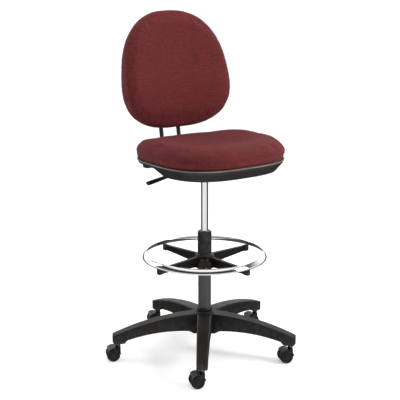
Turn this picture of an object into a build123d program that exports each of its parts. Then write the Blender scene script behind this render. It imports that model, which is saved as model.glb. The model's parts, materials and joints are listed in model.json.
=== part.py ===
from build123d import *
from math import cos, pi, radians, sin, tan
import os

# A drafting chair. All sizes are in millimetres. The origin is on the floor, on the
# column's axis; +Z is up and the sitter faces -Y, so the sitter's right hand is at -X.

# ---- driving dimensions -------------------------------------------------------------
FIT = 0.05                    # radial running clearance

WHEEL_R = 25.0                # caster wheel
WHEEL_WIDTH = 18.0
WHEEL_GAP = 18.0              # between the two wheels of one caster
TRAIL = 20.0                  # swivel axis to axle
STEM_R = 5.5
STEM_FOOT = 32.0
BOSS_TOP = 60.0
AXLE_R = 3.0
CASTER_CIRCLE = 344.0         # radius at which the stems stand
CASTER_HEADINGS = (160.0, 159.0, 165.0, 158.0, 158.0)   # where each caster trails to

ARM_COUNT = 5
ARM_HEADING = -127.5          # the first arm's direction about +Z, from +X
ARM_TIP = 362.0
ARM_ROOT_HALF = 28.0
ARM_TIP_HALF = 20.0
ARM_FOOT_Z = 67.0             # underside of each arm's end
HUB_R = 44.0
HUB_BOTTOM = 81.0
HUB_TOP = 163.0

TUBE_R = 25.0                 # column's outer tube
TUBE_BORE_R = 23.0
TUBE_BOTTOM = 85.0
TUBE_TOP = 477.0
COLLAR_TOP = 179.0
SLEEVE_R = 26.8
BUSH_BOTTOM = 389.0
SLEEVE_BOTTOM = 394.0
CYLINDER_R = 14.0             # gas spring's chromed pressure tube
CYLINDER_BOTTOM = 299.0
CYLINDER_TOP = 724.0
ROD_R = 5.0
BUTTON_R = 4.0

RING_R = 230.0                # foot ring, to the middle of its tube
RING_Z = 389.0
RING_SECTION = (12.0, 3.8)    # half height and half thickness of the flat oval tube
RING_LEAN = 34.0              # how far the section leans in at the top
RING_WALL = 1.3
PAD_TOP = RING_Z - 10.2       # the ring rests on the spider's pads
PAD_BOTTOM = RING_Z - 31.0
SPOKE_HEADING = -82.5         # the first spoke's direction about +Z, from +X
KNOB_HEADING = -126.0
SPIDER_BOTTOM = 339.0
SPIDER_TOP = 389.0
KNOB_Z = 357.0
LINER_R = 28.0
SCREW_CIRCLE = 229.0
SCREW_R, SCREW_LENGTH = 2.5, 30.0
SPIDER_HUB_R = 37.0

SEAT_Z = 771.0                # seam between cushion and shell
SEAT_MIDDLE_Y = -40.0
SEAT_HALF = (250.0, 234.0)
SEAT_POWER = (3.0, 2.85)      # squareness of the outline behind and ahead of its middle
BOARD = 10.0
SHELL_WALL = 3.0
SHELL_RIM = BOARD + SHELL_WALL
SHELL_DEPTH = 43.0
DISH_REAR = -30.0             # where the deep part of the shell ends
SHELL_TUCK = 26.0             # how far the shell draws in towards its bottom
CUSHION_SECTIONS = ((3, 0), (-9, 22), (-8, 44), (10, 60), (42, 70))   # inset and height

NUT_R, NUT_FLANGE_R, NUT_BORE_R = 5.0, 9.5, 3.25
MECHANISM_PLACES = [(x, y) for x in (-72, 72) for y in (-80, 62)]
ARM_PLACES = [(x, y) for x in (-170, 170) for y in (25, 85)]
NUT_PLACES = MECHANISM_PLACES + ARM_PLACES

HOUSING_HALF = 51.0
HOUSING_FRONT = -90.0
HOUSING_REAR = 78.0
HOUSING_BOTTOM = 694.0
EAR_REAR = 115.0
LOCK_ROD_END = -182.0
SOCKET_BOTTOM = 689.0         # the cylinder is wedged in from here up
PLATE = 3.0
PLATE_BOTTOM = SEAT_Z - BOARD - PLATE
TILT_Y, TILT_Z = 60.0, 717.0  # the back's tilt axis
LIFT_X, LIFT_Z = -49.5, 735.0 # the lift lever's fulcrum
LOCK_Y, LOCK_Z = 100.0, 734.5 # the back lock's rod
TILT_PIN_R = 6.0

BACK_LEAN = 9.0
BACK_Y, BACK_Z = 196.0, 1076.0
BACK_HALF = (230.0, 219.0)
BACK_POWER = (2.45, 2.75)     # squareness of the outline above and below its middle
BACK_TAPER = 0.118            # how much narrower the back is towards its top
BACK_BEND_R = 1000.0          # the back wraps round the sitter on this radius
PAD_FRONT = 28.0              # depths forward of the back's middle surface
BOARD_FRONT = -18.0
BOARD_REAR = -28.0
SHELL_REAR = -92.0
SHELL_INSET = 10.0
BAR_DEPTH = -72.0
BAR_R = 8.0
BAR_X = 40.0
BAR_BEND_R = 38.0
BAR_START_Y = 122.0           # the bars begin inside the bracket's sockets

# ---- planes -------------------------------------------------------------------------
SEAT_PLANE = Plane.XY.offset(SEAT_Z)
LEAN_SIN, LEAN_COS = sin(radians(BACK_LEAN)), cos(radians(BACK_LEAN))
BACK_PLANE = Plane(origin=(0, BACK_Y, BACK_Z), x_dir=(1, 0, 0), z_dir=(0, -LEAN_COS, LEAN_SIN))
BACK_SECTION = Plane(origin=(0, BACK_Y, BACK_Z), x_dir=(1, 0, 0), z_dir=(0, LEAN_SIN, LEAN_COS))


def back_point(x, up, depth):
    """A point given across, up and forward of the back's middle surface."""
    return BACK_PLANE.from_local_coords(Vector(x, up, depth))


def heading_point(radius, heading, z=0.0):
    """A point at a radius from the column, in a direction about +Z."""
    return (radius * cos(radians(heading)), radius * sin(radians(heading)), z)


def outline(half, power, inset=0.0, taper=0.0, middle_y=0.0, count=32):
    """Points round a rounded-square outline, drawn in all round by the inset."""
    half_x, half_y = half[0] - inset, half[1] - inset
    points = []
    for step in range(count):
        angle = 2 * pi * step / count
        across, along = cos(angle), sin(angle)
        bend = power[0] if along > 0 else power[1]
        reach = (abs(across / half_x) ** bend + abs(along / half_y) ** bend) ** (-1 / bend)
        width = 1 - taper * reach * along / half_y
        points.append((reach * across * width, middle_y + reach * along))
    return points


def outline_sketch(plane, points):
    """A face inside a smooth closed line through the points."""
    with BuildSketch(plane) as sketch:
        with BuildLine():
            Spline(*points, periodic=True)
        make_face()
    return sketch.sketch


def seat_outline(inset, drop):
    """The seat's outline, at a depth below the seam."""
    points = outline(SEAT_HALF, SEAT_POWER, inset, middle_y=SEAT_MIDDLE_Y)
    return outline_sketch(SEAT_PLANE.offset(-drop), points)


def back_outline(inset, depth):
    """The back's outline, at a depth forward of its middle surface."""
    points = outline(BACK_HALF, BACK_POWER, inset, taper=BACK_TAPER)
    return outline_sketch(BACK_PLANE.offset(depth), points)


SHELL_SCREW_PLACES = [
    (x * 0.865, SEAT_MIDDLE_Y + (y - SEAT_MIDDLE_Y) * 0.865)
    for x, y in outline(SEAT_HALF, SEAT_POWER, 0, middle_y=SEAT_MIDDLE_Y, count=6)
]
LIFT_BEND = Vector(LIFT_X + 6, 0, LIFT_Z)
LIFT_DIRECTION = Vector(-222, 0, -40).normalized()
LIFT_GRIP_START = LIFT_BEND + LIFT_DIRECTION * 118
LIFT_ROD_INSIDE = 60.0        # length of rod inside the grip
LIFT_ROD_END = LIFT_GRIP_START + LIFT_DIRECTION * LIFT_ROD_INSIDE
KNOB_PLANE = Plane(origin=(0, 0, KNOB_Z), z_dir=heading_point(1, KNOB_HEADING))


def save(piece, label):
    """Label a finished piece and write it as a STEP file of the same name."""
    piece.part.label = label
    export_step(piece.part, "parts/" + label + ".step")


def save_placed(piece, label, location):
    """Write a copy of a piece that was made about its own origin."""
    with BuildPart() as placed:
        with Locations(location):
            add(piece.part)
    save(placed, label)


# ---- base and casters ---------------------------------------------------------------
def arm_top(radius):
    """Height of the arms' arched top."""
    return 159.0 - 58.0 * (max(radius - 40.0, 0.0) / (ARM_TIP - 40.0)) ** 2


def arm_half(radius):
    """Half width of an arm."""
    share = (radius - HUB_R) / (ARM_TIP - HUB_R)
    return ARM_ROOT_HALF + (ARM_TIP_HALF - ARM_ROOT_HALF) * share


def make_base_arm():
    """One arched arm, hollow underneath, that runs out along +X."""
    shell, notch_r = 4.0, 322.0
    with BuildPart() as arm:
        with BuildSketch(Plane.XZ):
            with BuildLine():
                Polyline(
                    (0, HUB_BOTTOM), (0, arm_top(0)), (40, arm_top(40)),
                )
                ThreePointArc((40, arm_top(40)), (200, arm_top(200)), (ARM_TIP, arm_top(ARM_TIP)))
                Polyline(
                    (ARM_TIP, arm_top(ARM_TIP)), (ARM_TIP, ARM_FOOT_Z),
                    (notch_r, ARM_FOOT_Z), (notch_r - 10, ARM_FOOT_Z + 12),
                )
                ThreePointArc(
                    (notch_r - 10, ARM_FOOT_Z + 12), (200, 97), (70, 93),
                )
                Polyline((70, 93), (50, HUB_BOTTOM), (0, HUB_BOTTOM))
            make_face()
        extrude(amount=ARM_ROOT_HALF, both=True)
        with BuildSketch(Plane.XY) as plan:
            with BuildLine():
                Polyline(
                    (0, -ARM_ROOT_HALF), (HUB_R, -ARM_ROOT_HALF), (ARM_TIP, -ARM_TIP_HALF),
                    (ARM_TIP, ARM_TIP_HALF), (HUB_R, ARM_ROOT_HALF), (0, ARM_ROOT_HALF), close=True,
                )
            make_face()
            fillet(plan.vertices().group_by(Axis.X)[-1], radius=7)
        extrude(amount=HUB_TOP + 20, mode=Mode.INTERSECT)
        top = arm.faces().filter_by(GeomType.CYLINDER).sort_by(Axis.Z)[-1]
        fillet(top.edges().sort_by(Axis.X)[1:], radius=5)
        ribs = (56, 106, 158, 210, 262, 308)
        for inner, outer in zip(ribs[:-1], ribs[1:]):
            start, end = inner + 1.5, outer - 1.5
            with BuildSketch(Plane.XZ):
                Polygon(
                    (start, 50), (end, 50), (end, arm_top(end) - 6), (start, arm_top(start) - 6),
                    align=None,
                )
            extrude(amount=arm_half(end) - shell, both=True, mode=Mode.SUBTRACT)
        with BuildSketch(Plane.XY.offset(ARM_FOOT_Z - 1)):
            with Locations((CASTER_CIRCLE, 0)):
                Circle(STEM_R + FIT)
        extrude(amount=32, mode=Mode.SUBTRACT)
    return arm


def make_base_star(arm):
    """Five arms round a hub that is bored for the column."""
    with BuildPart() as star:
        with PolarLocations(0, ARM_COUNT, start_angle=ARM_HEADING):
            add(arm.part)
        with BuildSketch(Plane.XY.offset(HUB_BOTTOM)):
            Circle(HUB_R)
        extrude(amount=arm_top(0) - HUB_BOTTOM)
        with BuildSketch(Plane.XY.offset(arm_top(0))):
            Circle(HUB_R - 6)
        extrude(amount=HUB_TOP - arm_top(0), taper=45)
        with BuildSketch(Plane.XY.offset(HUB_BOTTOM - 10)):
            Circle(TUBE_R)
        extrude(amount=120, mode=Mode.SUBTRACT)
    return star


def make_caster_body():
    """Hooded twin-wheel housing: swivel axis on +Z, trailing along +X."""
    web_half, hood_half, hood_r, hood = WHEEL_GAP / 2 - 1, WHEEL_GAP / 2 + 15, 29.0, 2.5
    boss_bottom = 48.0
    with BuildPart() as body:
        with BuildSketch(Plane.XZ):
            with Locations((TRAIL, WHEEL_R)):
                Circle(22)
            with Locations((TRAIL / 2 - 8, WHEEL_R + 12)):
                Rectangle(22, 28)
        extrude(amount=web_half, both=True)
        with BuildSketch(Plane.XZ):
            with Locations((TRAIL, WHEEL_R)):
                Circle(hood_r)
                Circle(hood_r - hood, mode=Mode.SUBTRACT)
            with BuildLine():
                Polyline(
                    (TRAIL, WHEEL_R), (TRAIL + 60, WHEEL_R + 60), (TRAIL - 60, WHEEL_R + 60),
                    (TRAIL - 60, WHEEL_R + 4), close=True,
                )
            make_face(mode=Mode.INTERSECT)
        extrude(amount=hood_half, both=True)
        with BuildSketch(Plane.XY.offset(boss_bottom)):
            Circle(9.5)
        extrude(amount=BOSS_TOP - boss_bottom)
        with BuildSketch(Plane.XY.offset(STEM_FOOT)):
            Circle(STEM_R)
        extrude(amount=60, mode=Mode.SUBTRACT)
        with BuildSketch(Plane.XZ):
            with Locations((TRAIL, WHEEL_R)):
                Circle(AXLE_R)
        extrude(amount=20, both=True, mode=Mode.SUBTRACT)
    return body


def make_caster_stem():
    """Steel stem with the collar that carries the arm's end."""
    with BuildPart() as stem:
        with BuildSketch(Plane.XY.offset(STEM_FOOT)):
            Circle(STEM_R)
        extrude(amount=ARM_FOOT_Z + 29 - STEM_FOOT)
        chamfer(stem.faces().sort_by(Axis.Z)[-1].edges(), length=1)
        with BuildSketch(Plane.XY.offset(BOSS_TOP)):
            Circle(8)
        extrude(amount=ARM_FOOT_Z - 0.5 - BOSS_TOP)
    return stem


def make_caster_axle():
    """Steel pin across both wheels of one caster."""
    with BuildPart() as axle:
        with BuildSketch(Plane.XZ):
            with Locations((TRAIL, WHEEL_R)):
                Circle(AXLE_R)
        extrude(amount=WHEEL_GAP / 2 + 14.5, both=True)
    return axle


def make_wheel():
    """Hollow-backed wheel: axle on +Z, inner face on the origin's plane."""
    with BuildPart() as wheel:
        with BuildSketch(Plane.XZ):
            with BuildLine():
                Polyline(
                    (AXLE_R + FIT, 0), (8, 0), (8, 11), (21, 11), (21, 0.5), (WHEEL_R - 0.5, 0.5),
                    (WHEEL_R, 1.0), (WHEEL_R, 12),
                )
                RadiusArc((WHEEL_R, 12), (WHEEL_R - 5.5, WHEEL_WIDTH), -7)
                Polyline(
                    (WHEEL_R - 5.5, WHEEL_WIDTH), (WHEEL_R - 7, WHEEL_WIDTH - 1.4),
                    (8, WHEEL_WIDTH - 1.4), (7, WHEEL_WIDTH), (0, WHEEL_WIDTH), (0, 15),
                    (AXLE_R + FIT, 15), (AXLE_R + FIT, 0),
                )
            make_face()
        revolve(axis=Axis.Z)
    return wheel


def save_casters():
    """Five casters, each turned about its stem to its own heading."""
    body, stem, axle, wheel = make_caster_body(), make_caster_stem(), make_caster_axle(), make_wheel()
    for index, trail_heading in enumerate(CASTER_HEADINGS):
        number = str(index + 1)
        place = heading_point(CASTER_CIRCLE, ARM_HEADING + 360 / ARM_COUNT * index)
        caster = Location(place, (0, 0, trail_heading))
        save_placed(body, "caster_body_" + number, caster)
        save_placed(stem, "caster_stem_" + number, caster)
        save_placed(axle, "caster_axle_" + number, caster)
        for side, turn, letter in ((1, -90, "a"), (-1, 90, "b")):
            on_axle = Location((TRAIL, side * WHEEL_GAP / 2, WHEEL_R), (turn, 0, 0))
            save_placed(wheel, "caster_wheel_" + number + letter, caster * on_axle)


# ---- column and gas spring ----------------------------------------------------------
def make_column_tube():
    """Outer tube, closed at the foot but for the piston rod's hole."""
    with BuildPart() as tube:
        with BuildSketch(Plane.XY.offset(TUBE_BOTTOM)):
            Circle(TUBE_R)
        extrude(amount=TUBE_TOP - TUBE_BOTTOM)
        with BuildSketch(Plane.XY.offset(TUBE_BOTTOM + 3)):
            Circle(TUBE_BORE_R)
        extrude(amount=TUBE_TOP - TUBE_BOTTOM, mode=Mode.SUBTRACT)
        with BuildSketch(Plane.XY.offset(TUBE_BOTTOM)):
            Circle(ROD_R + FIT)
        extrude(amount=3, mode=Mode.SUBTRACT)
    return tube


def make_column_collar():
    """Bulged ring that hides the joint between column and base."""
    with BuildPart() as collar:
        with BuildSketch(Plane.XZ):
            with BuildLine():
                Polyline((TUBE_R, COLLAR_TOP), (TUBE_R, HUB_TOP), (TUBE_R + 3.5, HUB_TOP))
                ThreePointArc(
                    (TUBE_R + 3.5, HUB_TOP), (TUBE_R + 4.5, HUB_TOP + 7), (TUBE_R, COLLAR_TOP),
                )
            make_face()
        revolve(axis=Axis.Z)
    return collar


def make_column_sleeve():
    """Plastic sleeve round the upper end of the column's tube."""
    with BuildPart() as sleeve:
        with BuildSketch(Plane.XY.offset(SLEEVE_BOTTOM)):
            Circle(SLEEVE_R)
            Circle(TUBE_R, mode=Mode.SUBTRACT)
        extrude(amount=TUBE_TOP - SLEEVE_BOTTOM)
    return sleeve


def make_guide_bush():
    """Bush in the column's mouth that guides the chromed cylinder."""
    with BuildPart() as bush:
        with BuildSketch(Plane.XY.offset(BUSH_BOTTOM)):
            Circle(TUBE_BORE_R)
        extrude(amount=TUBE_TOP - BUSH_BOTTOM)
        with BuildSketch(Plane.XY.offset(TUBE_TOP)):
            Circle(SLEEVE_R)
        extrude(amount=5)
        chamfer(bush.faces().sort_by(Axis.Z)[-1].edges(), length=3.5)
        with BuildSketch(Plane.XY.offset(BUSH_BOTTOM)):
            Circle(CYLINDER_R + FIT)
        extrude(amount=TUBE_TOP + 5 - BUSH_BOTTOM, mode=Mode.SUBTRACT)
    return bush


def make_gas_cylinder():
    """Chromed pressure tube, necked at the top for the release button."""
    wall, cap = 2.5, 12.0
    with BuildPart() as cylinder:
        with BuildSketch(Plane.XY.offset(CYLINDER_BOTTOM)):
            Circle(CYLINDER_R)
        extrude(amount=CYLINDER_TOP - CYLINDER_BOTTOM)
        with BuildSketch(Plane.XY.offset(CYLINDER_BOTTOM + cap)):
            Circle(CYLINDER_R - wall)
        extrude(amount=CYLINDER_TOP - CYLINDER_BOTTOM - 2 * cap, mode=Mode.SUBTRACT)
        with BuildSketch(Plane.XY.offset(CYLINDER_BOTTOM)):
            Circle(ROD_R + FIT)
        extrude(amount=cap, mode=Mode.SUBTRACT)
        with BuildSketch(Plane.XY.offset(CYLINDER_TOP - cap)):
            Circle(BUTTON_R + FIT)
        extrude(amount=cap, mode=Mode.SUBTRACT)
    return cylinder


def make_piston_rod():
    """Rod from the column's foot up to the piston inside the cylinder."""
    rod_bottom, piston_bottom, piston_top = TUBE_BOTTOM - 8, CYLINDER_BOTTOM + 13, CYLINDER_BOTTOM + 25
    with BuildPart() as rod:
        with BuildSketch(Plane.XY.offset(rod_bottom)):
            Circle(ROD_R)
        extrude(amount=piston_bottom - rod_bottom)
        with BuildSketch(Plane.XY.offset(piston_bottom)):
            Circle(CYLINDER_R - 2.5 - FIT)
        extrude(amount=piston_top - piston_bottom)
    return rod


def make_ring(inner_r, outer_r, bottom, height):
    """A plain ring about the column's axis."""
    with BuildPart() as ring:
        with BuildSketch(Plane.XY.offset(bottom)):
            Circle(outer_r)
            Circle(inner_r, mode=Mode.SUBTRACT)
        extrude(amount=height)
    return ring


def make_release_button():
    """Pin in the cylinder's head that opens the gas valve."""
    with BuildPart() as button:
        with BuildSketch(Plane.XY.offset(CYLINDER_TOP - 8)):
            Circle(BUTTON_R)
        extrude(amount=LIFT_Z - 4 - 0.5 - CYLINDER_TOP + 8)
    return button


# ---- foot ring ----------------------------------------------------------------------
def make_footring_tube():
    """Flat oval tube rolled into a ring, its section leaning in at the top."""
    middle = Location((RING_R, RING_Z), RING_LEAN)
    half_height, half_thick = RING_SECTION
    with BuildPart() as ring:
        for wall, mode in ((0, Mode.ADD), (RING_WALL, Mode.SUBTRACT)):
            with BuildSketch(Plane.XZ):
                with Locations(middle):
                    Ellipse(half_thick - wall, half_height - wall)
            revolve(axis=Axis.Z, mode=mode)
        with BuildSketch(Plane.XY.offset(PAD_BOTTOM)):
            with PolarLocations(SCREW_CIRCLE, 4, start_angle=SPOKE_HEADING):
                Circle(SCREW_R)
        extrude(amount=SCREW_LENGTH, mode=Mode.SUBTRACT)
    return ring


def make_spoke():
    """One spoke that runs out along +X to the pad under the ring."""
    root_z, web_half, flange_half = SPIDER_TOP - 3, 4.0, 6.5
    with BuildPart() as spoke:
        with BuildSketch(Plane.XZ):
            Polygon(
                (30, SPIDER_BOTTOM + 6), (30, root_z), (222, PAD_TOP), (222, PAD_BOTTOM),
                (202, PAD_BOTTOM),
                align=None,
            )
        extrude(amount=web_half, both=True)
        with BuildSketch(Plane.XZ):
            Polygon((30, root_z - 4), (30, root_z), (222, PAD_TOP), (222, PAD_TOP - 4), align=None)
        extrude(amount=flange_half, both=True)
        with BuildSketch(Plane.XY.offset(PAD_BOTTOM)):
            with Locations((RING_R - 5.5, 0)):
                RectangleRounded(21, 18, 3)
        extrude(amount=PAD_TOP - PAD_BOTTOM)
    return spoke


def make_footring_spider(spoke):
    """Hub with four spokes that end in pads for the ring."""
    with BuildPart() as spider:
        with BuildSketch(Plane.XY.offset(SPIDER_BOTTOM)):
            Circle(SPIDER_HUB_R)
        extrude(amount=SPIDER_TOP - SPIDER_BOTTOM)
        chamfer(spider.faces().sort_by(Axis.Z)[-1].edges(), length=3)
        with PolarLocations(0, 4, start_angle=SPOKE_HEADING):
            add(spoke.part)
        with BuildSketch(KNOB_PLANE.offset(20)):
            Circle(14)
        extrude(amount=26)
        with BuildSketch(Plane.XY.offset(SPIDER_BOTTOM - 5)):
            Circle(LINER_R + FIT)
        extrude(amount=60, mode=Mode.SUBTRACT)
        with BuildSketch(KNOB_PLANE.offset(20)):
            Circle(4 + FIT)
        extrude(amount=40, mode=Mode.SUBTRACT)
        with BuildSketch(Plane.XY.offset(PAD_BOTTOM)):
            with PolarLocations(SCREW_CIRCLE, 4, start_angle=SPOKE_HEADING):
                Circle(SCREW_R)
        extrude(amount=SCREW_LENGTH, mode=Mode.SUBTRACT)
    return spider


def make_footring_knob():
    """Fluted clamp knob with its stud through the spider's boss."""
    knob_r, start, flutes = 27.0, 47.0, 8
    with BuildPart() as knob:
        with BuildSketch(KNOB_PLANE.offset(start)):
            Circle(knob_r)
            with PolarLocations(knob_r + 4, flutes):
                Circle(7, mode=Mode.SUBTRACT)
        extrude(amount=20)
        outward = Axis(KNOB_PLANE.origin, KNOB_PLANE.z_dir)
        fillet(knob.faces().sort_by(outward)[-1].edges(), radius=2)
        with BuildSketch(KNOB_PLANE.offset(LINER_R + 1)):
            Circle(4)
        extrude(amount=start - LINER_R - 1)
    return knob


def make_footring_screws():
    """Four screws up through the spider's pads into the ring."""
    head_r, head_height = 4.5, 2.5
    with BuildPart() as screws:
        with BuildSketch(Plane.XY.offset(PAD_BOTTOM - head_height)):
            with PolarLocations(SCREW_CIRCLE, 4, start_angle=SPOKE_HEADING):
                Circle(head_r)
        extrude(amount=head_height)
        with BuildSketch(Plane.XY.offset(PAD_BOTTOM)):
            with PolarLocations(SCREW_CIRCLE, 4, start_angle=SPOKE_HEADING):
                Circle(SCREW_R)
        extrude(amount=SCREW_LENGTH)
    return screws


# ---- seat ---------------------------------------------------------------------------
def make_seat_board():
    """Plywood board with the holes for the tee nuts and the shell's screws."""
    with BuildPart() as board:
        add(seat_outline(8, BOARD))
        extrude(amount=BOARD)
        with BuildSketch(SEAT_PLANE.offset(-BOARD)):
            with Locations(*NUT_PLACES):
                Circle(NUT_R)
            with Locations(*SHELL_SCREW_PLACES):
                Circle(1.5)
        extrude(amount=BOARD, mode=Mode.SUBTRACT)
        with BuildSketch(SEAT_PLANE.offset(-1.2)):
            with Locations(*NUT_PLACES):
                Circle(NUT_FLANGE_R)
        extrude(amount=1.2, mode=Mode.SUBTRACT)
    return board


def make_seat_shell():
    """Moulded cover under the seat: a rim all round and a deep dish at the front."""
    rim_bottom, dish_bottom = SEAT_Z - SHELL_RIM, SEAT_Z - SHELL_DEPTH
    with BuildPart() as shell:
        add(seat_outline(0, 0))
        add(seat_outline(3, SHELL_RIM))
        add(seat_outline(SHELL_TUCK, SHELL_DEPTH))
        loft(ruled=True)
        add(seat_outline(7.5, BOARD))
        extrude(amount=BOARD, mode=Mode.SUBTRACT)
        add(seat_outline(6, SHELL_RIM))
        add(seat_outline(SHELL_TUCK + SHELL_WALL, SHELL_DEPTH - SHELL_WALL))
        loft(ruled=True, mode=Mode.SUBTRACT)
        add(seat_outline(46, SHELL_DEPTH))
        extrude(amount=SHELL_DEPTH, mode=Mode.SUBTRACT)
        with BuildSketch(Plane.YZ):
            Polygon(
                (DISH_REAR, rim_bottom), (300, rim_bottom), (300, rim_bottom - 100),
                (DISH_REAR - 50, rim_bottom - 100), (DISH_REAR - 40, dish_bottom), align=None,
            )
        extrude(amount=300, both=True, mode=Mode.SUBTRACT)
        with BuildSketch(SEAT_PLANE.offset(-SHELL_RIM)):
            with Locations(*SHELL_SCREW_PLACES):
                Circle(2.2)
        extrude(amount=SHELL_WALL, mode=Mode.SUBTRACT)
    return shell


def make_seat_cushion():
    """Plain crowned block in the seat cushion's place."""
    with BuildPart() as cushion:
        for inset, height in CUSHION_SECTIONS:
            add(seat_outline(inset, -height))
        loft()
    return cushion


def tee_nut(bore_r):
    """One tee nut about +Z, its flange at the top."""
    with BuildPart() as nut:
        with BuildSketch(Plane.XY.offset(-BOARD)):
            Circle(NUT_R)
        extrude(amount=BOARD)
        with BuildSketch(Plane.XY.offset(-1.2)):
            Circle(NUT_FLANGE_R)
        extrude(amount=1.2)
        with BuildSketch(Plane.XY.offset(-BOARD)):
            Circle(bore_r)
        extrude(amount=BOARD, mode=Mode.SUBTRACT)
    return nut


def make_tee_nuts():
    """Steel tee nuts in the seat board, for the mechanism and for armrests."""
    nut = tee_nut(NUT_BORE_R)
    with BuildPart() as nuts:
        with Locations(SEAT_PLANE):
            with Locations(*NUT_PLACES):
                add(nut.part)
    return nuts


def make_bolts(places, plane, head_r, head_height, shank_r, length):
    """Identical screws driven up through the plane, heads below it."""
    with BuildPart() as bolts:
        with BuildSketch(plane.offset(-head_height)):
            with Locations(*places):
                Circle(head_r)
        extrude(amount=head_height)
        with BuildSketch(plane):
            with Locations(*places):
                Circle(shank_r)
        extrude(amount=length)
    return bolts


# ---- mechanism ----------------------------------------------------------------------
def make_mechanism_housing():
    """Pressed steel housing with its top plate and the cylinder's socket."""
    with BuildPart() as housing:
        with BuildSketch(SEAT_PLANE.offset(-BOARD - PLATE)):
            with Locations((0, -8)):
                RectangleRounded(176, 176, 12)
            with Locations(*MECHANISM_PLACES):
                Circle(3.4, mode=Mode.SUBTRACT)
        extrude(amount=PLATE)
        for side in (-1, 1):
            with BuildSketch(Plane.YZ.offset(side * (HOUSING_HALF - PLATE / 2))):
                Polygon(
                    (HOUSING_FRONT, HOUSING_BOTTOM), (HOUSING_REAR, HOUSING_BOTTOM),
                    (EAR_REAR, 721), (EAR_REAR, 741), (80, PLATE_BOTTOM + 1),
                    (HOUSING_FRONT, PLATE_BOTTOM + 1), align=None,
                )
            extrude(amount=PLATE / 2, both=True)
        with BuildSketch(Plane.XY.offset(HOUSING_BOTTOM)):
            with Locations((0, (HOUSING_FRONT + HOUSING_REAR) / 2)):
                Rectangle(2 * HOUSING_HALF, HOUSING_REAR - HOUSING_FRONT)
        extrude(amount=PLATE)
        with BuildSketch(Plane.XZ.offset(-HOUSING_FRONT - PLATE)):
            with Locations((0, (HOUSING_BOTTOM + PLATE_BOTTOM) / 2)):
                Rectangle(2 * HOUSING_HALF, PLATE_BOTTOM - HOUSING_BOTTOM + 1)
        extrude(amount=PLATE)
        with BuildSketch(Plane.XY.offset(SOCKET_BOTTOM)):
            Circle(CYLINDER_R + 5)
        extrude(amount=CYLINDER_TOP - SOCKET_BOTTOM)
        with BuildSketch(Plane.XY.offset(SOCKET_BOTTOM)):
            Circle(CYLINDER_R)
        extrude(amount=CYLINDER_TOP - SOCKET_BOTTOM, mode=Mode.SUBTRACT)
        with BuildSketch(Plane.YZ):
            with Locations((TILT_Y, TILT_Z)):
                Circle(TILT_PIN_R)
        extrude(amount=HOUSING_HALF, both=True, mode=Mode.SUBTRACT)
        with BuildSketch(Plane.YZ.offset(-HOUSING_HALF - 1)):
            with Locations((0, LIFT_Z)):
                SlotOverall(24, 13)
            with Locations((LOCK_Y, LOCK_Z)):
                Circle(3.5 + FIT)
        extrude(amount=PLATE + 2, mode=Mode.SUBTRACT)
    return housing


def make_tilt_pin():
    """Steel pin that the back tilts on."""
    with BuildPart() as pin:
        with BuildSketch(Plane.YZ):
            with Locations((TILT_Y, TILT_Z)):
                Circle(TILT_PIN_R)
        extrude(amount=HOUSING_HALF + 5, both=True)
        for side in (-1, 1):
            with BuildSketch(Plane.YZ.offset(side * (HOUSING_HALF + 3))):
                with Locations((TILT_Y, TILT_Z)):
                    Circle(9)
            extrude(amount=2, both=True)
    return pin


def make_lift_lever():
    """Bent rod: its inner end lies over the release button."""
    with BuildPart() as lever:
        with BuildLine():
            Polyline((3, 0, LIFT_Z), LIFT_BEND, LIFT_ROD_END)
        with BuildSketch(Plane(origin=(3, 0, LIFT_Z), z_dir=(-1, 0, 0))):
            Circle(4)
        sweep(transition=Transition.ROUND)
        with BuildSketch(Plane.XZ):
            with Locations((LIFT_X, LIFT_Z)):
                Circle(5)
        extrude(amount=7, both=True)
    return lever


def make_lift_grip():
    """Flat oval grip on the outer end of the lift lever's rod."""
    grip_plane = Plane(origin=LIFT_GRIP_START, z_dir=LIFT_DIRECTION, x_dir=(0, 1, 0))
    with BuildPart() as grip:
        with BuildSketch(grip_plane):
            Ellipse(9, 5.5)
        with BuildSketch(grip_plane.offset(30)):
            Ellipse(11, 6)
        with BuildSketch(grip_plane.offset(94)):
            Ellipse(13, 7)
        loft()
        with BuildSketch(grip_plane.offset(-5)):
            Circle(4)
        extrude(amount=LIFT_ROD_INSIDE + 5, mode=Mode.SUBTRACT)
    return grip


def make_back_lock_lever():
    """Rod that turns about its own length to lock the back."""
    with BuildPart() as lever:
        with BuildSketch(Plane.YZ.offset(LOCK_ROD_END)):
            with Locations((LOCK_Y, LOCK_Z)):
                Circle(3.5)
        extrude(amount=-LOCK_ROD_END - 34)
    return lever


def make_back_lock_grip():
    """Paddle on the outer end of the back lock's rod."""
    with BuildPart() as grip:
        with BuildSketch(Plane.XY.offset(LOCK_Z - 5.5)):
            with Locations((-172, LOCK_Y + 14)):
                RectangleRounded(46, 36, 12)
        extrude(amount=11)
        fillet(grip.faces().sort_by(Axis.Z)[0].edges(), radius=4)
        with BuildSketch(Plane.YZ.offset(LOCK_ROD_END)):
            with Locations((LOCK_Y, LOCK_Z)):
                Circle(3.5)
        extrude(amount=50, mode=Mode.SUBTRACT)
    return grip


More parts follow.
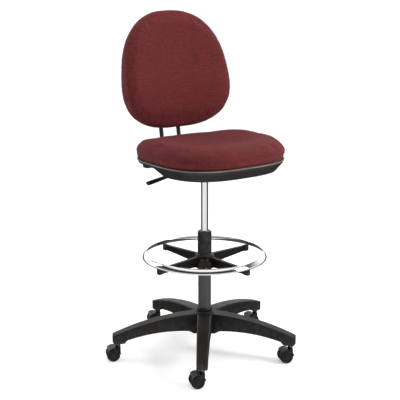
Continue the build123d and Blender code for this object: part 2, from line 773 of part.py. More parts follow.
# ---- back ---------------------------------------------------------------------------
def make_back_bracket():
    """Tilting bracket: an eye round the pin and a socket for each bar."""
    with BuildPart() as bracket:
        with BuildSketch(Plane.YZ):
            with Locations((TILT_Y, TILT_Z)):
                Circle(12)
            with Locations(((TILT_Y + BAR_START_Y) / 2, TILT_Z - 2)):
                Rectangle(BAR_START_Y - TILT_Y, 24)
        extrude(amount=44, both=True)
        with BuildSketch(Plane.YZ):
            with Locations((BAR_START_Y + 17, TILT_Z)):
                Rectangle(42, 28)
        extrude(amount=BAR_X + 13, both=True)
        with BuildSketch(Plane.YZ):
            with Locations((TILT_Y, TILT_Z)):
                Circle(TILT_PIN_R + FIT)
        extrude(amount=60, both=True, mode=Mode.SUBTRACT)
        with BuildSketch(Plane.XZ.offset(-BAR_START_Y)):
            with Locations((BAR_X, TILT_Z), (-BAR_X, TILT_Z)):
                Circle(BAR_R)
        extrude(amount=-60, mode=Mode.SUBTRACT)
    return bracket


def make_back_bar(x):
    """Round bar from the bracket, up behind the seat and into the back."""
    top = back_point(x, 40, BAR_DEPTH)
    foot = back_point(x, 0, BAR_DEPTH)
    corner_y = foot.Y - (foot.Z - TILT_Z) * LEAN_SIN / LEAN_COS
    with BuildPart() as bar:
        with BuildLine():
            FilletPolyline(
                (x, BAR_START_Y, TILT_Z), (x, corner_y, TILT_Z), top, radius=BAR_BEND_R,
            )
        with BuildSketch(Plane(origin=(x, BAR_START_Y, TILT_Z), z_dir=(0, 1, 0))):
            Circle(BAR_R)
        sweep()
    return bar


def bend_slab(front, rear):
    """A curved slab between two depths, as wide and tall as any part of the back."""
    with BuildPart() as slab:
        with BuildSketch(BACK_SECTION):
            with Locations((0, -BACK_BEND_R)):
                Circle(BACK_BEND_R - rear)
                Circle(BACK_BEND_R - front, mode=Mode.SUBTRACT)
            with Locations((0, -BACK_BEND_R + 700)):
                Rectangle(600, 1000, align=(Align.CENTER, Align.MIN), mode=Mode.INTERSECT)
        extrude(amount=300, both=True)
    return slab


def make_back_board():
    """Curved board that the back's pad and shell are fixed to."""
    slab = bend_slab(BOARD_FRONT, BOARD_REAR)
    with BuildPart() as board:
        for depth in (-60, 60):
            add(back_outline(SHELL_INSET + 3.5, depth))
        loft()
        add(slab.part, mode=Mode.INTERSECT)
    return board


def make_back_cushion():
    """Plain curved block in the back pad's place, lapped round the shell's edge."""
    behind_face = bend_slab(PAD_FRONT, -100)
    behind_board_front = bend_slab(BOARD_FRONT, -100)
    with BuildPart() as room:
        for depth in (-100, 60):
            add(back_outline(SHELL_INSET, depth))
        loft(ruled=True)
        add(behind_board_front.part, mode=Mode.INTERSECT)
    with BuildPart() as cushion:
        for inset, depth in ((0, BOARD_FRONT), (0, 10), (24, 70)):
            add(back_outline(inset, depth))
        loft(ruled=True)
        add(behind_face.part, mode=Mode.INTERSECT)
        add(room.part, mode=Mode.SUBTRACT)
    return cushion


def make_back_shell():
    """Dished rear cover of the back, open below for the bars."""
    in_front = bend_slab(300, BOARD_FRONT)
    dish = [
        (SHELL_INSET, 60), (SHELL_INSET, BOARD_REAR), (SHELL_INSET + 26, BOARD_REAR - 26),
        (100, SHELL_REAR),
    ]
    with BuildPart() as shell:
        for inset, depth in dish:
            add(back_outline(inset, depth))
        loft(ruled=True)
        for inset, depth in dish[:-1] + [(dish[-1][0], SHELL_REAR + SHELL_WALL)]:
            add(back_outline(inset + SHELL_WALL, depth))
        loft(ruled=True, mode=Mode.SUBTRACT)
        add(in_front.part, mode=Mode.SUBTRACT)
        with BuildSketch(BACK_SECTION.offset(-300)):
            with Locations((BAR_X, -BAR_DEPTH), (-BAR_X, -BAR_DEPTH)):
                Circle(BAR_R + 1.5)
        extrude(amount=300, mode=Mode.SUBTRACT)
    return shell


def make_back_guide():
    """Block behind the back board that slides up and down the two bars."""
    in_front = bend_slab(300, BOARD_REAR)
    with BuildPart() as guide:
        with BuildSketch(BACK_SECTION.offset(-110)):
            with Locations((0, -(BOARD_REAR + BAR_DEPTH - 12) / 2)):
                RectangleRounded(2 * BAR_X + 36, BOARD_REAR - BAR_DEPTH + 20, 5)
            with Locations((BAR_X, -BAR_DEPTH), (-BAR_X, -BAR_DEPTH)):
                Circle(BAR_R + FIT, mode=Mode.SUBTRACT)
        extrude(amount=140)
        add(in_front.part, mode=Mode.SUBTRACT)
    return guide


# ---- every piece, one file each ------------------------------------------------------
os.makedirs("parts", exist_ok=True)
save(make_base_star(make_base_arm()), "base_star")
save_casters()
save(make_column_tube(), "column_tube")
save(make_column_collar(), "column_collar")
save(make_column_sleeve(), "column_sleeve")
save(make_guide_bush(), "guide_bush")
save(make_gas_cylinder(), "gas_cylinder")
save(make_piston_rod(), "piston_rod")
save(make_ring(ROD_R + 0.3, 13, TUBE_BOTTOM + 3, 6), "thrust_bearing")
save(make_ring(ROD_R, 11, TUBE_BOTTOM - 3.2, 2.5), "retaining_clip")
save(make_ring(ROD_R, 12, TUBE_BOTTOM + 9.5, 7), "bump_stop")
save(make_release_button(), "release_button")

save(make_footring_tube(), "footring_tube")
save(make_footring_spider(make_spoke()), "footring_spider")
save(make_ring(TUBE_R + FIT, LINER_R, SPIDER_BOTTOM + 2, 48), "footring_liner")
save(make_footring_knob(), "footring_knob")
save(make_footring_screws(), "footring_screws")

save(make_seat_board(), "seat_board")
save(make_seat_shell(), "seat_shell")
save(make_seat_cushion(), "seat_cushion")
save(make_tee_nuts(), "tee_nuts")
save(make_bolts(MECHANISM_PLACES, SEAT_PLANE.offset(-BOARD - PLATE), 5.5, 4, NUT_BORE_R, 13),
     "mechanism_bolts")
save(make_bolts(SHELL_SCREW_PLACES, SEAT_PLANE.offset(-SHELL_RIM), 4, 2.2, 1.5, 12), "shell_screws")

save(make_mechanism_housing(), "mechanism_housing")
save(make_tilt_pin(), "tilt_pin")
save(make_lift_lever(), "lift_lever")
save(make_lift_grip(), "lift_grip")
save(make_back_lock_lever(), "back_lock_lever")
save(make_back_lock_grip(), "back_lock_grip")

save(make_back_bracket(), "back_bracket")
save(make_back_bar(-BAR_X), "back_bar_right")
save(make_back_bar(BAR_X), "back_bar_left")
save(make_back_board(), "back_board")
save(make_back_cushion(), "back_cushion")
save(make_back_shell(), "back_shell")
save(make_back_guide(), "back_guide")
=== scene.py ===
import json
from math import cos, pi, radians, sin

import bpy
import numpy as np
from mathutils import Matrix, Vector


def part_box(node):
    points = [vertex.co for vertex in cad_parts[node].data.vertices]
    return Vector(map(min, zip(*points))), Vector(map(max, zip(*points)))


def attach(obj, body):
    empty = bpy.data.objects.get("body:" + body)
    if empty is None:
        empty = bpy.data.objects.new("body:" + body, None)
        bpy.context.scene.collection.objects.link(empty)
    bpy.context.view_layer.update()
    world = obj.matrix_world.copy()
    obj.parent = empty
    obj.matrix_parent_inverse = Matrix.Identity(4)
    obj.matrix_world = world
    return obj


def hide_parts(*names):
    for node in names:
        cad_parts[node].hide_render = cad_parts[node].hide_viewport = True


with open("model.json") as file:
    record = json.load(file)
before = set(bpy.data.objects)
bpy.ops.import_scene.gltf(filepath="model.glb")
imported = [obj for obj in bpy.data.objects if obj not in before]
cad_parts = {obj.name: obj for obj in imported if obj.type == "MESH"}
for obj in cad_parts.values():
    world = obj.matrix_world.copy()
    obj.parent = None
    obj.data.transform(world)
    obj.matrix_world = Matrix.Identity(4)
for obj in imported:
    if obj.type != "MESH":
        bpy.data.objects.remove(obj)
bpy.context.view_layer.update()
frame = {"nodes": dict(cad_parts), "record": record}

# A drafting chair on a pale floor. Lengths are in metres, in the CAD model's frame:
# +Z up, the sitter faces -Y, the column stands on the origin.

# ---- the seat's and the back's own dimensions -------------------------------------------
shell_low, shell_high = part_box("seat_shell")
SEAT_Z = shell_high.z                                  # seam between cushion and shell
SEAT_MIDDLE = Vector((0, (shell_low.y + shell_high.y) / 2, SEAT_Z))
SEAT_HALF = ((shell_high.x - shell_low.x) / 2, (shell_high.y - shell_low.y) / 2)
SEAT_POWER = (3.0, 2.85)                               # squareness, rear and front
BACK_LEAN = radians(9)
BACK_MIDDLE = Vector((0, 0.196, 1.079))
BACK_HALF = (0.230, 0.223)
BACK_POWER = (2.45, 2.75)                              # squareness, top and bottom
BACK_TAPER = 0.118
BACK_BEND_R = 1.0
BACK_UP = Vector((0, sin(BACK_LEAN), cos(BACK_LEAN)))
BACK_FORWARD = Vector((0, -cos(BACK_LEAN), sin(BACK_LEAN)))
BOARD_FRONT = -0.018                                   # depth of the pad's flat rear face
ROUND = 144                                            # points round each outline
VIEW_HEADING = radians(36)                             # where the photographer faced, from +Y
VIEW_PITCH = radians(13.48)                            # how far down the photographer looked
WEFT_PITCH, WARP_PITCH = 0.0017, 0.0024                # thread spacing of the fabric
PLY = 0.0025                                           # thickness of two layers of plywood


# ---- node helpers -----------------------------------------------------------------------
def linear(red, green, blue):
    """An sRGB colour, 0 to 255, as the linear RGBA that a shader takes."""
    parts = []
    for value in (red, green, blue):
        share = value / 255
        parts.append(share / 12.92 if share <= 0.04045 else ((share + 0.055) / 1.055) ** 2.4)
    return (*parts, 1.0)


class Nodes:
    """A node tree with short calls for the nodes that this scene uses."""

    def __init__(self, owner):
        owner.use_nodes = True
        self.tree = owner.node_tree

    def add(self, kind, **settings):
        node = self.tree.nodes.new(kind)
        for key, value in settings.items():
            setattr(node, key, value)
        return node

    def put(self, value, socket):
        """Set a socket to a number or colour, or link another socket to it."""
        if isinstance(value, bpy.types.NodeSocket):
            self.tree.links.new(value, socket)
        else:
            socket.default_value = value

    def math(self, operation, first, second=0.0, third=0.0):
        node = self.add("ShaderNodeMath", operation=operation)
        for value, socket in zip((first, second, third), node.inputs):
            self.put(value, socket)
        return node.outputs[0]

    def vector(self, x, y, z):
        node = self.add("ShaderNodeCombineXYZ")
        for value, socket in zip((x, y, z), node.inputs):
            self.put(value, socket)
        return node.outputs[0]

    def split(self, vector):
        node = self.add("ShaderNodeSeparateXYZ")
        self.put(vector, node.inputs[0])
        return node.outputs

    def coordinates(self, stretch=(1, 1, 1)):
        """Object coordinates in metres, stretched along each axis."""
        place = self.add("ShaderNodeMapping")
        self.put(self.add("ShaderNodeTexCoord").outputs["Object"], place.inputs["Vector"])
        place.inputs["Scale"].default_value = stretch
        return place.outputs[0]

    def noise(self, vector, scale, detail=2.0, roughness=0.5):
        node = self.add("ShaderNodeTexNoise")
        self.put(vector, node.inputs["Vector"])
        node.inputs["Scale"].default_value = scale
        node.inputs["Detail"].default_value = detail
        node.inputs["Roughness"].default_value = roughness
        return node.outputs["Fac"]

    def cells(self, vector, scale):
        node = self.add("ShaderNodeTexVoronoi", feature="SMOOTH_F1")
        self.put(vector, node.inputs["Vector"])
        node.inputs["Scale"].default_value = scale
        return node.outputs["Distance"]

    def span(self, value, low, high, start=0.0, end=1.0):
        """Map a value's span onto another span, clamped."""
        node = self.add("ShaderNodeMapRange")
        for number, socket in zip((value, low, high, start, end), node.inputs):
            self.put(number, socket)
        return node.outputs[0]

    def mix(self, share, first, second, blend="MIX"):
        node = self.add("ShaderNodeMix", data_type="RGBA", blend_type=blend)
        self.put(share, node.inputs["Factor"])
        self.put(first, node.inputs[6])
        self.put(second, node.inputs[7])
        return node.outputs[2]

    def bump(self, height, distance, strength=1.0, under=None):
        node = self.add("ShaderNodeBump")
        node.inputs["Distance"].default_value = distance
        node.inputs["Strength"].default_value = strength
        self.put(height, node.inputs["Height"])
        if under is not None:
            self.put(under, node.inputs["Normal"])
        return node.outputs[0]

    def edges(self, low=0.51, high=0.58):
        """Where the surface is sharply convex, as a share."""
        return self.span(self.add("ShaderNodeNewGeometry").outputs["Pointiness"], low, high)


class Surface(Nodes):
    """A material's nodes."""

    def __init__(self, name, roughness=0.5, metallic=0.0, specular=0.5):
        self.material = bpy.data.materials.new(name)
        super().__init__(self.material)
        self.shader = self.tree.nodes["Principled BSDF"]
        self.set("Roughness", roughness)
        self.set("Metallic", metallic)
        self.set("Specular IOR Level", specular)

    def set(self, socket, value):
        self.put(value, self.shader.inputs[socket])


# ---- materials --------------------------------------------------------------------------
def weave_directions(made, middle, lean, rows_run_up):
    """Distances across and along the weave's rows, carried on over the pad's rounded edges."""
    texture = made.add("ShaderNodeTexCoord")
    place = made.add("ShaderNodeMapping")
    made.put(texture.outputs["Object"], place.inputs["Vector"])
    place.inputs["Rotation"].default_value = (lean, 0, 0)
    place.inputs["Location"].default_value = (
        0,
        -(middle.y * cos(lean) - middle.z * sin(lean)),
        -(middle.y * sin(lean) + middle.z * cos(lean)),
    )
    x, y, z = made.split(place.outputs[0])
    normal = made.split(texture.outputs["Normal"])
    main, other, wrap = (z, y, 1.0) if rows_run_up else (y, z, -1.0)
    facing = normal[2] if rows_run_up else normal[1]
    lap = made.math("MULTIPLY", made.math("MULTIPLY", facing, facing), other)
    lap = made.math("MULTIPLY", lap, made.math("MULTIPLY", made.math("SIGN", main), wrap))
    row = made.math("ADD", main, lap)
    side = made.math("MULTIPLY", made.math("MULTIPLY", normal[0], normal[0]), other)
    along = made.math("SUBTRACT", x, made.math("MULTIPLY", made.math("SIGN", x), side))
    return row, along


def woven_fabric(name, middle, lean, rows_run_up):
    """Close burgundy weave in rows across the chair, wrapped round the pad's edges."""
    made = Surface(name, roughness=0.82, specular=0.18)
    row, along = weave_directions(made, middle, lean, rows_run_up)

    def streaks(per_metre_along, per_metre_across, detail):
        across = made.math("MULTIPLY", row, per_metre_across)
        stretched = made.vector(made.math("MULTIPLY", along, per_metre_along), across, 0.0)
        return made.noise(stretched, 1.0, detail)

    slubs = streaks(20, 300, 4)
    flecks = streaks(70, 640, 2)
    patches = made.noise(made.coordinates(), 9.0, 2)
    colour = made.mix(made.span(slubs, 0.3, 0.7), linear(66, 18, 20), linear(106, 35, 37))
    colour = made.mix(made.span(flecks, 0.44, 0.72, 0.0, 0.45), colour, linear(130, 54, 56))
    colour = made.mix(made.span(patches, 0.35, 0.7, 0.0, 0.12), colour, linear(58, 18, 21))
    weft = made.math("SINE", made.math("MULTIPLY", row, 2 * pi / WEFT_PITCH))
    warp = made.math("SINE", made.math("MULTIPLY", along, 2 * pi / WARP_PITCH))
    cross = made.math("MULTIPLY_ADD", made.math("MULTIPLY", weft, warp), 0.5, 0.5)
    colour = made.mix(made.span(cross, 0.0, 1.0, 0.2, 0.0), colour, linear(56, 18, 22))
    made.set("Base Color", colour)
    made.set("Roughness", made.span(slubs, 0.3, 0.7, 0.74, 0.9))
    made.set("Sheen Weight", 0.09)
    made.set("Sheen Roughness", 0.4)
    made.set("Sheen Tint", linear(214, 128, 132))
    threads = made.math("ADD", cross, made.math("MULTIPLY", slubs, 0.8))
    made.set("Normal", made.bump(threads, 0.0007, 0.7))
    return made.material


def moulded_plastic(name, dark, light, roughness, grain, specular=0.2):
    """Moulded plastic: fine spark-eroded grain, faint mottling and rubbed edges."""
    made = Surface(name, roughness, specular=specular)
    where = made.coordinates()
    mottle = made.noise(where, 14.0, 3)
    fine = made.noise(where, grain, 3, 0.6)
    colour = made.mix(made.span(mottle, 0.3, 0.72), dark, light)
    worn = made.math("MULTIPLY", made.edges(), made.span(made.noise(where, 60.0), 0.35, 0.65, 0.05, 0.25))
    made.set("Base Color", made.mix(worn, colour, linear(92, 88, 84)))
    made.set("Roughness", made.span(mottle, 0.3, 0.75, roughness - 0.07, roughness + 0.08))
    made.set("Normal", made.bump(fine, 0.00025, 0.55))
    return made.material


def shell_plastic(name):
    """Charcoal shell moulding with a shallow leather-like grain."""
    made = Surface(name, 0.46, specular=0.42)
    where = made.coordinates()
    pebbles = made.cells(where, 520.0)
    mottle = made.noise(where, 11.0, 3)
    colour = made.mix(made.span(mottle, 0.3, 0.7), linear(29, 27, 26), linear(37, 34, 33))
    made.set("Base Color", made.mix(made.span(pebbles, 0.2, 0.75, 0.0, 0.35), colour, linear(25, 24, 23)))
    made.set("Roughness", made.span(mottle, 0.3, 0.7, 0.4, 0.52))
    relief = made.bump(pebbles, 0.0004, 0.5)
    made.set("Normal", made.bump(made.noise(where, 1900.0), 0.0001, 0.4, relief))
    return made.material


def chrome(name):
    """Bright chrome with faint polishing marks and a little haze."""
    made = Surface(name, 0.08, metallic=1.0)
    swirl = made.noise(made.coordinates((1, 1, 6)), 70.0, 4, 0.65)
    haze = made.noise(made.coordinates(), 6.0, 2)
    colour = made.mix(made.span(haze, 0.35, 0.7), linear(222, 222, 224), linear(236, 236, 236))
    made.set("Base Color", colour)
    made.set("Roughness", made.span(swirl, 0.35, 0.75, 0.045, 0.13))
    made.set("Normal", made.bump(swirl, 0.00002, 0.25))
    return made.material


def plated_steel(name):
    """Zinc-plated steel, dull and slightly spangled."""
    made = Surface(name, 0.38, metallic=1.0)
    where = made.coordinates()
    spangle = made.cells(where, 260.0)
    brushed = made.noise(made.coordinates((1, 1, 9)), 240.0, 3)
    colour = made.mix(made.span(spangle, 0.1, 0.8), linear(186, 186, 180), linear(150, 151, 148))
    made.set("Base Color", colour)
    made.set("Roughness", made.span(brushed, 0.3, 0.7, 0.3, 0.48))
    made.set("Normal", made.bump(brushed, 0.00005, 0.4))
    return made.material


def powder_coat(name):
    """Black powder-coated steel with its orange-peel surface."""
    made = Surface(name, 0.42, specular=0.34)
    where = made.coordinates()
    peel = made.noise(where, 520.0, 2)
    mottle = made.noise(where, 20.0, 2)
    colour = made.mix(made.span(mottle, 0.3, 0.7), linear(22, 20, 20), linear(29, 26, 26))
    worn = made.math("MULTIPLY", made.edges(0.53, 0.62), 0.3)
    made.set("Base Color", made.mix(worn, colour, linear(110, 108, 106)))
    made.set("Roughness", made.span(peel, 0.3, 0.7, 0.36, 0.5))
    made.set("Normal", made.bump(peel, 0.0002, 0.5))
    return made.material


def plywood(name):
    """Birch ply: long grain on the faces, darker layers at the edges."""
    made = Surface(name, 0.62, specular=0.3)
    grain = made.noise(made.coordinates((3, 60, 60)), 6.0, 5, 0.6)
    height = made.split(made.coordinates())[2]
    layers = made.math("SINE", made.math("MULTIPLY", height, 2 * pi / PLY))
    colour = made.mix(made.span(grain, 0.3, 0.7), linear(198, 160, 112), linear(222, 190, 146))
    made.set("Base Color", made.mix(made.span(layers, 0.2, 1.0, 0.0, 0.3), colour, linear(150, 108, 68)))
    made.set("Normal", made.bump(grain, 0.0002, 0.4))
    return made.material


def rubber(name):
    """Matt black rubber with a faint bloom."""
    made = Surface(name, 0.85, specular=0.2)
    bloom = made.noise(made.coordinates(), 40.0, 4)
    made.set("Base Color", made.mix(made.span(bloom, 0.35, 0.7), linear(26, 26, 26), linear(44, 43, 42)))
    made.set("Normal", made.bump(made.noise(made.coordinates(), 800.0), 0.0002, 0.4))
    return made.material


def make_materials():
    """One material for each of the record's material slots."""
    return {
        "nylon_black": moulded_plastic("nylon_black", linear(17, 15, 14), linear(24, 21, 20), 0.44, 1300.0),
        "caster_plastic": moulded_plastic("caster_plastic", linear(15, 14, 14), linear(21, 19, 19), 0.36, 900.0),
        "wheel_plastic": moulded_plastic("wheel_plastic", linear(15, 14, 14), linear(21, 19, 19), 0.42, 700.0),
        "sleeve_plastic": moulded_plastic("sleeve_plastic", linear(15, 13, 13), linear(20, 18, 17), 0.4, 1600.0),
        "bush_acetal": moulded_plastic("bush_acetal", linear(34, 32, 31), linear(44, 42, 40), 0.4, 1500.0),
        "shell_plastic": shell_plastic("shell_plastic"),
        "chrome": chrome("chrome"),
        "zinc_steel": plated_steel("zinc_steel"),
        "black_steel": powder_coat("black_steel"),
        "plywood": plywood("plywood"),
        "rubber_black": rubber("rubber_black"),
        "burgundy_fabric": woven_fabric("seat_fabric", Vector((0, -0.04, SEAT_Z + 0.05)), 0.0, False),
    }


# ---- mesh helpers -----------------------------------------------------------------------
def new_piece(name, points, faces, material):
    """A smooth mesh object from points and faces."""
    mesh = bpy.data.meshes.new(name)
    mesh.from_pydata([tuple(point) for point in points], [], faces)
    mesh.polygons.foreach_set("use_smooth", [True] * len(mesh.polygons))
    mesh.materials.append(material)
    piece = bpy.data.objects.new(name, mesh)
    bpy.context.scene.collection.objects.link(piece)
    return piece


def ringed_piece(name, rings, material):
    """A closed mesh through equal rings of points, each end drawn in to its middle."""
    count = len(rings[0])
    points = [point for ring in rings for point in ring]
    faces = []
    for level in range(len(rings) - 1):
        for step in range(count):
            low, turn = level * count, (step + 1) % count
            faces.append((low + step, low + turn, low + count + turn, low + count + step))
    for ring, flip in ((0, True), (len(rings) - 1, False)):
        start = ring * count
        points.append(sum(rings[ring], Vector()) / count)
        for step in range(count):
            turn = (step + 1) % count
            edge = (start + turn, start + step) if flip else (start + step, start + turn)
            faces.append((*edge, len(points) - 1))
    return new_piece(name, points, faces, material)


def tube_along(name, line, radius, material, sides=12):
    """A closed bead of round section along a closed line."""
    count, points, faces = len(line), [], []
    for step, point in enumerate(line):
        run = (line[(step + 1) % count] - line[step - 1]).normalized()
        across = run.cross(Vector((0, 0, 1))).normalized()
        upward = across.cross(run)
        for side in range(sides):
            angle = 2 * pi * side / sides
            points.append(point + across * cos(angle) * radius + upward * sin(angle) * radius)
    for step in range(count):
        for side in range(sides):
            here, there = step * sides, (step + 1) % count * sides
            turn = (side + 1) % sides
            faces.append((here + side, there + side, there + turn, here + turn))
    return new_piece(name, points, faces, material)


def reach(angle, half, power):
    """Distance from the middle of a rounded-square outline to its edge."""
    bend = power[0] if sin(angle) > 0 else power[1]
    return (abs(cos(angle) / half[0]) ** bend + abs(sin(angle) / half[1]) ** bend) ** (-1 / bend)


def smooth_step(low, high, value):
    """Rise smoothly from 0 to 1 as a value passes from low to high."""
    share = min(max((value - low) / (high - low), 0.0), 1.0)
    return share * share * (3 - 2 * share)


VOXEL = 0.005    # mesh size of the pads
AIR_PRESSURE = 4.0
SWELL_FRAMES = 20
WAVES = ((1, 0.3, 0.2), (-0.4, 1, 0.5), (0.2, -0.6, 1), (1.3, 1.1, -0.7), (-1.2, 0.9, 1.5))


def inflate(piece, cap, is_held):
    """Swell a pad by cloth simulation with air pressure inside, up to a cap of movement."""
    scene = bpy.context.scene
    remesh = piece.modifiers.new("remesh", "REMESH")
    remesh.mode = "VOXEL"
    remesh.voxel_size = VOXEL
    remesh.use_smooth_shade = True
    apply_modifiers(piece)
    start = coordinates_of(piece.data)
    held = piece.vertex_groups.new(name="held")
    held.add([index for index, point in enumerate(start) if is_held(Vector(point))], 1.0, "REPLACE")
    cloth = piece.modifiers.new("cloth", "CLOTH")
    cloth.settings.quality = 4
    cloth.settings.use_pressure = True
    cloth.settings.uniform_pressure_force = AIR_PRESSURE
    cloth.settings.vertex_group_mass = "held"
    cloth.settings.effector_weights.gravity = 0.0
    cloth.point_cache.frame_start = 1
    cloth.point_cache.frame_end = SWELL_FRAMES
    for number in range(1, SWELL_FRAMES + 1):
        scene.frame_set(number)
    apply_modifiers(piece)
    scene.frame_set(1)
    move = coordinates_of(piece.data) - start
    length = np.linalg.norm(move, axis=1, keepdims=True)
    capped = move * np.minimum(1.0, cap / np.maximum(length, 1e-9))
    piece.data.vertices.foreach_set("co", (start + capped).ravel())
    piece.vertex_groups.clear()
    piece.data.update()


def apply_modifiers(piece):
    """Replace the piece's mesh by what its modifiers make of it."""
    graph = bpy.context.evaluated_depsgraph_get()
    made = bpy.data.meshes.new_from_object(piece.evaluated_get(graph))
    piece.modifiers.clear()
    piece.data = made


def coordinates_of(mesh):
    """The places of a mesh's points, one row each."""
    flat = np.empty(len(mesh.vertices) * 3)
    mesh.vertices.foreach_get("co", flat)
    return flat.reshape(-1, 3)


def relax(piece, amount, size, keep_below=-1.0):
    """Give upholstery its slight unevenness: a few crossing waves along the normals."""
    points = coordinates_of(piece.data)
    normals = np.empty(len(points) * 3)
    piece.data.vertices.foreach_get("normal", normals)
    wave = np.zeros(len(points))
    for index, run in enumerate(WAVES):
        wave += np.sin(points @ np.array(run) * 2 * pi / size + 2.1 * index)
    wave[points[:, 2] < keep_below] = 0
    points += normals.reshape(-1, 3) * wave[:, None] * amount / len(WAVES)
    piece.data.vertices.foreach_set("co", points.ravel())
    piece.data.update()


def subdivide(piece):
    """Round the pad's facets off with one level of subdivision."""
    surface = piece.modifiers.new("subdivision", "SUBSURF")
    surface.levels = 1
    surface.render_levels = 1


# ---- seat cushion -----------------------------------------------------------------------
SEAT_BULGE = 0.007            # how far the sides stand out before the fabric swells
SIDE_HEIGHT = 0.036           # where the sides begin to turn in
RIDGE_HALF = (0.190, 0.162)   # the crest that borders the dished middle
RIDGE_MIDDLE_Y = -0.018
DISH = 0.036                  # how far the middle lies under the crest


def seat_top(x, y):
    """Height of the cushion's top over the seam, without its rounded shoulders."""
    ridge = ((abs(x) / RIDGE_HALF[0]) ** 2.6 + (abs(y - RIDGE_MIDDLE_Y) / RIDGE_HALF[1]) ** 2.6) ** (1 / 2.6)
    crest = 0.0715 - 0.016 * smooth_step(0.02, 0.16, y) - 0.004 * smooth_step(-0.1, -0.2, y)
    crest += smooth_step(0.11, 0.2, abs(x)) * 0.004 * smooth_step(0.02, 0.13, y)
    return crest - DISH * max(0.0, 1 - ridge * ridge) ** 1.2


def seat_shoulder(angle):
    """Width of the rounded shoulder: broad at the front, tighter at the sides and rear."""
    return 0.056 + 0.038 * smooth_step(0.2, 0.95, -sin(angle))


def seat_ring(inset_of, height_of):
    """A ring of points round the seat, inside its outline and over its seam."""
    ring = []
    for step in range(ROUND):
        angle = 2 * pi * step / ROUND
        radius = reach(angle, SEAT_HALF, SEAT_POWER) - inset_of(angle)
        x, y = radius * cos(angle), SEAT_MIDDLE.y + radius * sin(angle)
        ring.append(Vector((x, y, SEAT_Z + height_of(angle, x, y))))
    return ring


def make_seat_cushion(material):
    """Foam pad with a dished top, a waterfall front and swelling sides."""
    rings = []
    for inset, height in ((0.030, 0.0008), (0.006, 0.0008), (0.001, 0.008), (-SEAT_BULGE, 0.022)):
        rings.append(seat_ring(lambda angle, i=inset: i, lambda angle, x, y, h=height: h))
    for share in (0.0, 0.12, 0.26, 0.42, 0.6, 0.8, 1.0):
        def inset_of(angle, share=share):
            return share * (seat_shoulder(angle) + SEAT_BULGE) - SEAT_BULGE

        def height_of(angle, x, y, share=share):
            return SIDE_HEIGHT + (seat_top(x, y) - SIDE_HEIGHT) * (1 - (1 - share) ** 2.1) ** (1 / 2.1)

        rings.append(seat_ring(inset_of, height_of))
    for share in (0.08, 0.16, 0.24, 0.32, 0.4, 0.5, 0.6, 0.72, 0.85, 0.97):
        def inner_inset(angle, share=share):
            full = reach(angle, SEAT_HALF, SEAT_POWER)
            return seat_shoulder(angle) + (full - seat_shoulder(angle)) * share

        rings.append(seat_ring(inner_inset, lambda angle, x, y: seat_top(x, y)))
    piece = ringed_piece("seat_cushion_cover", rings, material)
    inflate(piece, 0.004, lambda point: point.z < SEAT_Z + 0.007)
    relax(piece, 0.0007, 0.07, SEAT_Z + 0.008)
    subdivide(piece)
    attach(piece, "seat")
    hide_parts("seat_cushion")


def make_seat_lip(material):
    """Rolled lip along the shell's upper edge, where the fabric tucks in."""
    line = seat_ring(lambda angle: -0.0002, lambda angle, x, y: -0.0018)
    lip = tube_along("seat_shell_lip", line, 0.0026, material)
    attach(lip, "seat")


# ---- back cushion -----------------------------------------------------------------------
BACK_BULGE = 0.002
SKIRT = 0.0105                # how thick the pad's edge is where it laps round the board
PAD_SIDE = 0.004              # depth at which the pad's sides begin to turn in
PAD_CROWN = 0.0245            # depth of the pad's face, before it swells
PAD_SHOULDER = 0.066


def bend(x):
    """How far the curved back comes forward at a distance from its middle."""
    return BACK_BEND_R - (BACK_BEND_R ** 2 - x * x) ** 0.5


def pad_face(x, up):
    """Depth of the pad's face: fuller in the small of the back, hollow above it."""
    lumbar = 0.006 * np.exp(-((up + 0.075) / 0.085) ** 2)
    return bend(x) + PAD_CROWN + lumbar - 0.004 * np.exp(-(x / 0.12) ** 2 - ((up - 0.07) / 0.11) ** 2)


def back_ring(inset_of, depth_of):
    """A ring of points round the back, inside its outline and before its board."""
    ring = []
    for step in range(ROUND):
        angle = 2 * pi * step / ROUND
        edge = reach(angle, BACK_HALF, BACK_POWER)
        radius = edge - inset_of(edge)
        taper = 1 - BACK_TAPER * radius * sin(angle) / BACK_HALF[1]
        x, up = radius * cos(angle) * taper, radius * sin(angle)
        ring.append(BACK_MIDDLE + Vector((x, 0, 0)) + BACK_UP * up + BACK_FORWARD * depth_of(x, up))
    return ring


def make_back_cushion(material):
    """Curved foam pad on the back board, lapped round the board's edge."""
    rear = BOARD_FRONT + 0.0008
    rings = []
    for inset in (0.05, SKIRT):
        rings.append(back_ring(lambda edge, i=inset: i, lambda x, up: rear + bend(x)))
    for inset, depth in ((SKIRT, rear - 0.0004), (0.003, rear - 0.0004), (0.0, -0.012)):
        rings.append(back_ring(lambda edge, i=inset: i, lambda x, up, d=depth: d))
    for share in (0.0, 0.12, 0.26, 0.42, 0.6, 0.8, 1.0):
        def depth_of(x, up, share=share):
            side = PAD_SIDE + bend(x)
            return side + (pad_face(x, up) - side) * (1 - (1 - share) ** 2.0) ** 0.5

        rings.append(back_ring(lambda edge, s=share: s * (PAD_SHOULDER + BACK_BULGE) - BACK_BULGE, depth_of))
    for share in (0.15, 0.3, 0.45, 0.6, 0.75, 0.87, 0.97):
        rings.append(back_ring(lambda edge, s=share: PAD_SHOULDER + (edge - PAD_SHOULDER) * s, pad_face))
    piece = ringed_piece("back_cushion_cover", rings, material)

    def is_held(point):
        depth = (point - BACK_MIDDLE).dot(BACK_FORWARD)
        return depth < BOARD_FRONT + 0.01 or depth - bend(point.x) < BOARD_FRONT + 0.006

    inflate(piece, 0.005, is_held)
    relax(piece, 0.0006, 0.08)
    subdivide(piece)
    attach(piece, "back")
    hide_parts("back_cushion")


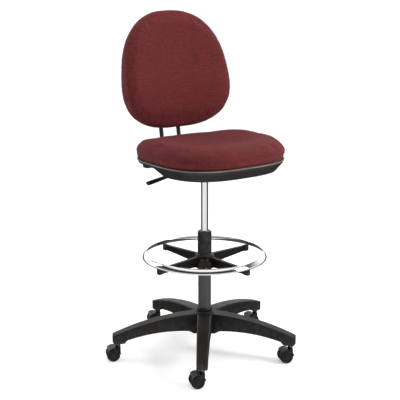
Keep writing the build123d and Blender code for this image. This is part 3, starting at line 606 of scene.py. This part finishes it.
# ---- CAD nodes --------------------------------------------------------------------------
def finish_cad_nodes(materials):
    """Give every carried-over CAD node its slot's material."""
    for entry in frame["record"]["subparts"]:
        node = frame["nodes"][entry["node"]]
        node.data.materials.clear()
        node.data.materials.append(materials[entry["material_slot"]])


# ---- floor, lights, camera --------------------------------------------------------------
def make_floor():
    """A seamless white floor that glows a little, as a lit studio sweep does."""
    reach_out = 120.0
    corners = [(x * reach_out, y * reach_out, 0) for x, y in ((-1, -1), (1, -1), (1, 1), (-1, 1))]
    made = Surface("floor_paper", 0.9, specular=0.1)
    made.set("Base Color", (0.82, 0.82, 0.82, 1))
    made.set("Emission Color", (1, 1, 1, 1))
    made.set("Emission Strength", 0.37)
    floor = new_piece("floor", corners, [(0, 1, 2, 3)], made.material)
    floor.visible_glossy = False        # bright metal mirrors the studio's lower half instead


LIGHTS = (    # name, place, target, size and watts
    ("key", (2.1, -2.5, 2.3), (0, 0, 0.75), (1.2, 1.2), 98),
    ("rim", (-1.7, 2.4, 1.8), (0, 0, 0.9), (0.8, 1.8), 24),
    ("top", (0.3, 0.3, 3.4), (0, 0, 0), (1.4, 1.4), 34),
)


def make_light(name, place, target, size, power):
    """A soft rectangular light that points at its target."""
    data = bpy.data.lights.new(name, "AREA")
    data.shape = "RECTANGLE"
    data.size, data.size_y = size
    data.energy = power
    light = bpy.data.objects.new(name, data)
    light.location = place
    light.rotation_euler = (Vector(target) - Vector(place)).to_track_quat("-Z", "Y").to_euler()
    bpy.context.scene.collection.objects.link(light)


def make_world():
    """Studio surroundings: white round the horizon and higher ahead, with a soft light above.

    Below the horizon, where only mirroring metal sees it, the studio is white towards the camera
    and dark beyond the chair.
    """
    world = bpy.data.worlds.new("studio")
    studio = Nodes(world)
    x, y, z = studio.split(studio.add("ShaderNodeTexCoord").outputs["Generated"])
    ahead_x = studio.math("MULTIPLY", x, sin(VIEW_HEADING))
    ahead_y = studio.math("MULTIPLY", y, cos(VIEW_HEADING))
    level = studio.math("SQRT", studio.math("SUBTRACT", 1.0001, studio.math("MULTIPLY", z, z)))
    turn = studio.math("DIVIDE", studio.math("ADD", ahead_x, ahead_y), level)
    below = studio.span(turn, -0.5, -0.2, 1.0, 0.1)
    horizon = studio.span(z, 0.2, 0.34, 1.05, 0.0)
    backdrop = studio.span(turn, 0.1, 0.6, 0.12, 1.3)
    backdrop = studio.math("MULTIPLY", backdrop, studio.span(z, 0.45, 0.6, 1.0, 0.2))
    overhead = studio.span(z, 0.68, 0.84, 0.0, 1.25)
    is_above = studio.span(z, -0.03, 0.0)
    walls = studio.math("MULTIPLY", studio.math("MAXIMUM", horizon, backdrop), is_above)
    below = studio.math("MULTIPLY", below, studio.math("SUBTRACT", 1.0, is_above))
    light = studio.math("ADD", studio.math("ADD", walls, below), overhead)
    background = studio.tree.nodes["Background"].inputs
    background["Color"].default_value = (1, 1, 1, 1)
    studio.put(light, background["Strength"])
    bpy.context.scene.world = world


def make_camera():
    """The photograph's viewing angle, from the sitter's front right."""
    data = bpy.data.cameras.new("camera")
    data.lens, data.sensor_width, data.shift_x = 86.5, 36.0, -0.0115
    data.clip_end = 400.0
    camera = bpy.data.objects.new("camera", data)
    camera.location = (-2.0731, -2.8534, 1.4465)
    level = cos(VIEW_PITCH)
    ahead = Vector((sin(VIEW_HEADING) * level, cos(VIEW_HEADING) * level, -sin(VIEW_PITCH)))
    camera.rotation_euler = ahead.to_track_quat("-Z", "Y").to_euler()
    bpy.context.scene.collection.objects.link(camera)
    bpy.context.scene.camera = camera


make_camera()
make_world()
make_floor()
for light in LIGHTS:
    make_light(*light)
bpy.context.scene.view_settings.view_transform = "Standard"

materials = make_materials()
finish_cad_nodes(materials)
make_seat_cushion(materials["burgundy_fabric"])
# The lip's pale grey plastic, far lighter than the charcoal shell, is a painted highlight: the light caught
# along the shell's rim edge.
make_seat_lip(moulded_plastic("shell_lip_painted_highlight", linear(92, 89, 87), linear(120, 117, 114), 0.34, 1500.0))
make_back_cushion(woven_fabric("back_fabric", BACK_MIDDLE, -BACK_LEAN, True))
